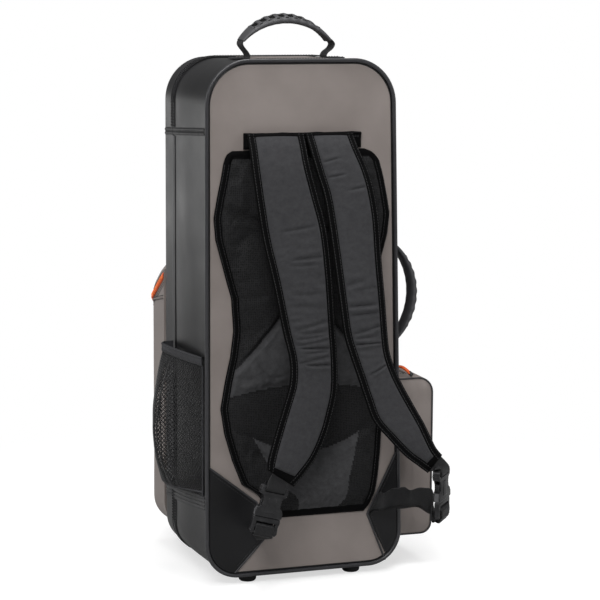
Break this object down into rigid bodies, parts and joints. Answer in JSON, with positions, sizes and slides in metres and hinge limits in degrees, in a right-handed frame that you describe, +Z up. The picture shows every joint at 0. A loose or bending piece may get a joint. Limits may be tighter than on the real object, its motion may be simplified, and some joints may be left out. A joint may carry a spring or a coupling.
{
  "type": "saxophone case",
  "caption": "Backpack case for an alto saxophone: zipped foam shell with a shaped bed, padded shoulder straps, two carrying handles, mesh, side and front pockets.",
  "frame": {"origin": "middle of the whole part's box, at the bottom of the rubber feet, as it stands upright", "axes": "+Z up, +X towards the side with the carrying handle and the accessory pocket, -Y towards the strap side, +Y towards the lid"},
  "size_m": [0.3484, 0.363, 0.7185],
  "materials": {
    "taupe_leathercloth": "satin",
    "black_leathercloth": "satin",
    "black_piping": "satin",
    "spacer_fabric": "matte",
    "strap_fabric": "matte",
    "polyester_webbing": "matte",
    "elastic_mesh": "matte",
    "zipper_tape": "matte",
    "orange_zipper_tape": "matte",
    "buckle_acetal": "satin",
    "blackened_zinc": "satin",
    "foot_rubber": "matte",
    "grip_rubber": "matte",
    "lining_plush": "matte"
  },
  "bodies": {
    "case": {"back_shell": "black_leathercloth", "back_panel": "taupe_leathercloth", "back_piping": "black_piping", "corner_patch_left": "black_leathercloth", "corner_patch_right": "black_leathercloth", "back_pad": "spacer_fabric", "strap_yoke": "polyester_webbing", "lower_web_left": "polyester_webbing", "lower_web_right": "polyester_webbing", "mesh_pocket": "elastic_mesh", "mesh_hem": "polyester_webbing", "mesh_band": "black_leathercloth", "upper_band": "black_leathercloth", "hinge_strip": "black_leathercloth", "zipper_tape_shell": "zipper_tape", "foot_back_left": "foot_rubber", "foot_back_right": "foot_rubber", "sax_bed": "lining_plush", "top_handle_leg_left": "polyester_webbing", "top_handle_leg_right": "polyester_webbing", "top_patch": "taupe_leathercloth", "side_handle_leg_upper": "polyester_webbing", "side_handle_leg_lower": "polyester_webbing", "side_pocket": "taupe_leathercloth", "side_piping_back": "black_piping", "side_piping_front": "black_piping", "side_zipper": "zipper_tape"},
    "lid": {"lid_shell": "black_leathercloth", "front_panel": "taupe_leathercloth", "front_piping": "black_piping", "zipper_tape_lid": "zipper_tape", "lid_pad": "lining_plush", "front_pocket": "taupe_leathercloth", "front_zipper": "orange_zipper_tape", "foot_front_left": "foot_rubber", "foot_front_right": "foot_rubber"},
    "front_flap": {"front_flap": "taupe_leathercloth"},
    "front_slider": {"front_slider": "blackened_zinc"},
    "front_pull": {"front_pull": "blackened_zinc"},
    "side_flap": {"side_flap": "taupe_leathercloth"},
    "side_slider": {"side_slider": "blackened_zinc"},
    "side_pull": {"side_pull": "blackened_zinc"},
    "upper_slider": {"upper_slider": "blackened_zinc"},
    "upper_pull": {"upper_pull": "blackened_zinc"},
    "lower_slider": {"lower_slider": "blackened_zinc"},
    "lower_pull": {"lower_pull": "blackened_zinc"},
    "top_handle": {"top_handle_grip": "grip_rubber"},
    "side_handle": {"side_handle_grip": "grip_rubber"},
    "strap_left": {"strap_pad_left": "strap_fabric", "strap_web_left": "polyester_webbing", "buckle_socket_left": "buckle_acetal"},
    "plug_left": {"buckle_plug_left": "buckle_acetal"},
    "strap_right": {"strap_pad_right": "strap_fabric", "strap_web_right": "polyester_webbing", "buckle_socket_right": "buckle_acetal"},
    "plug_right": {"buckle_plug_right": "buckle_acetal"},
    "accessory_lid": {"accessory_lid": "lining_plush"}
  },
  "joints": [
    {"name": "lid_hinge", "type": "hinge", "parent": "case", "child": "lid", "pos_m": [-0.14422, 0.0596, 0.337], "axis": [0, 0, 1], "range_deg": [0, 110], "deforming": ["hinge_strip"]},
    {"name": "top_handle_tilt", "type": "hinge", "parent": "case", "child": "top_handle", "pos_m": [-0.01912, -0.0184, 0.6725], "axis": [1, 0, 0], "range_deg": [-40, 40], "deforming": ["top_handle_leg_left", "top_handle_leg_right"]},
    {"name": "side_handle_tilt", "type": "hinge", "parent": "case", "child": "side_handle", "pos_m": [0.12181, -0.0324, 0.36027], "axis": [-0.0246, 0, 0.9997], "range_deg": [-40, 40], "deforming": ["side_handle_leg_upper", "side_handle_leg_lower"]},
    {"name": "upper_slider_travel", "type": "slide", "parent": "case", "child": "upper_slider", "axis": [-0.0246, 0, 0.9997], "range_m": [0, 0.108]},
    {"name": "upper_pull_swing", "type": "hinge", "parent": "upper_slider", "child": "upper_pull", "pos_m": [0.11541, 0.0596, 0.49014], "axis": [0, -1, 0], "range_deg": [0, 150]},
    {"name": "lower_slider_travel", "type": "slide", "parent": "case", "child": "lower_slider", "axis": [0.0246, 0, -0.9997], "range_m": [0, 0.35]},
    {"name": "lower_pull_swing", "type": "hinge", "parent": "lower_slider", "child": "lower_pull", "pos_m": [0.11674, 0.0596, 0.43613], "axis": [0, -1, 0], "range_deg": [0, 150]},
    {"name": "front_slider_travel", "type": "slide", "parent": "lid", "child": "front_slider", "axis": [1, 0, 0], "range_m": [0, 0.15]},
    {"name": "front_pull_swing", "type": "hinge", "parent": "front_slider", "child": "front_pull", "pos_m": [-0.08912, 0.1797, 0.33414], "axis": [1, 0, 0], "range_deg": [0, 150]},
    {"name": "front_flap_hinge", "type": "hinge", "parent": "lid", "child": "front_flap", "pos_m": [-0.01912, 0.1128, 0.39742], "axis": [1, 0, 0], "range_deg": [0, 70]},
    {"name": "side_slider_travel", "type": "slide", "parent": "case", "child": "side_slider", "axis": [0, 1, 0], "range_m": [0, 0.07]},
    {"name": "side_pull_swing", "type": "hinge", "parent": "side_slider", "child": "side_pull", "pos_m": [0.11927, -0.0444, 0.2555], "axis": [0, -1, 0], "range_deg": [0, 90]},
    {"name": "side_flap_hinge", "type": "hinge", "parent": "case", "child": "side_flap", "pos_m": [0.14822, 0.0006, 0.2499], "axis": [0, 1, 0], "range_deg": [0, 80]},
    {"name": "strap_left_swing", "type": "hinge", "parent": "case", "child": "strap_left", "pos_m": [-0.01912, -0.09092, 0.5723], "axis": [-1, 0, 0], "range_deg": [0, 18], "deforming": ["lower_web_left"]},
    {"name": "buckle_left_release", "type": "slide", "parent": "strap_left", "child": "plug_left", "axis": [-0.2756, 0, -0.9613], "range_m": [0, 0.045], "deforming": ["lower_web_left"]},
    {"name": "strap_right_swing", "type": "hinge", "parent": "case", "child": "strap_right", "pos_m": [-0.01912, -0.09092, 0.5723], "axis": [-1, 0, 0], "range_deg": [0, 18], "deforming": ["lower_web_right"]},
    {"name": "buckle_right_release", "type": "slide", "parent": "strap_right", "child": "plug_right", "axis": [0.0699, 0.0777, -0.9945], "range_m": [0, 0.045], "deforming": ["lower_web_right"]},
    {"name": "accessory_lid_hinge", "type": "hinge", "parent": "case", "child": "accessory_lid", "pos_m": [0.07678, -0.0086, 0.5045], "axis": [0, 0, -1], "range_deg": [0, 85]}
  ]
}
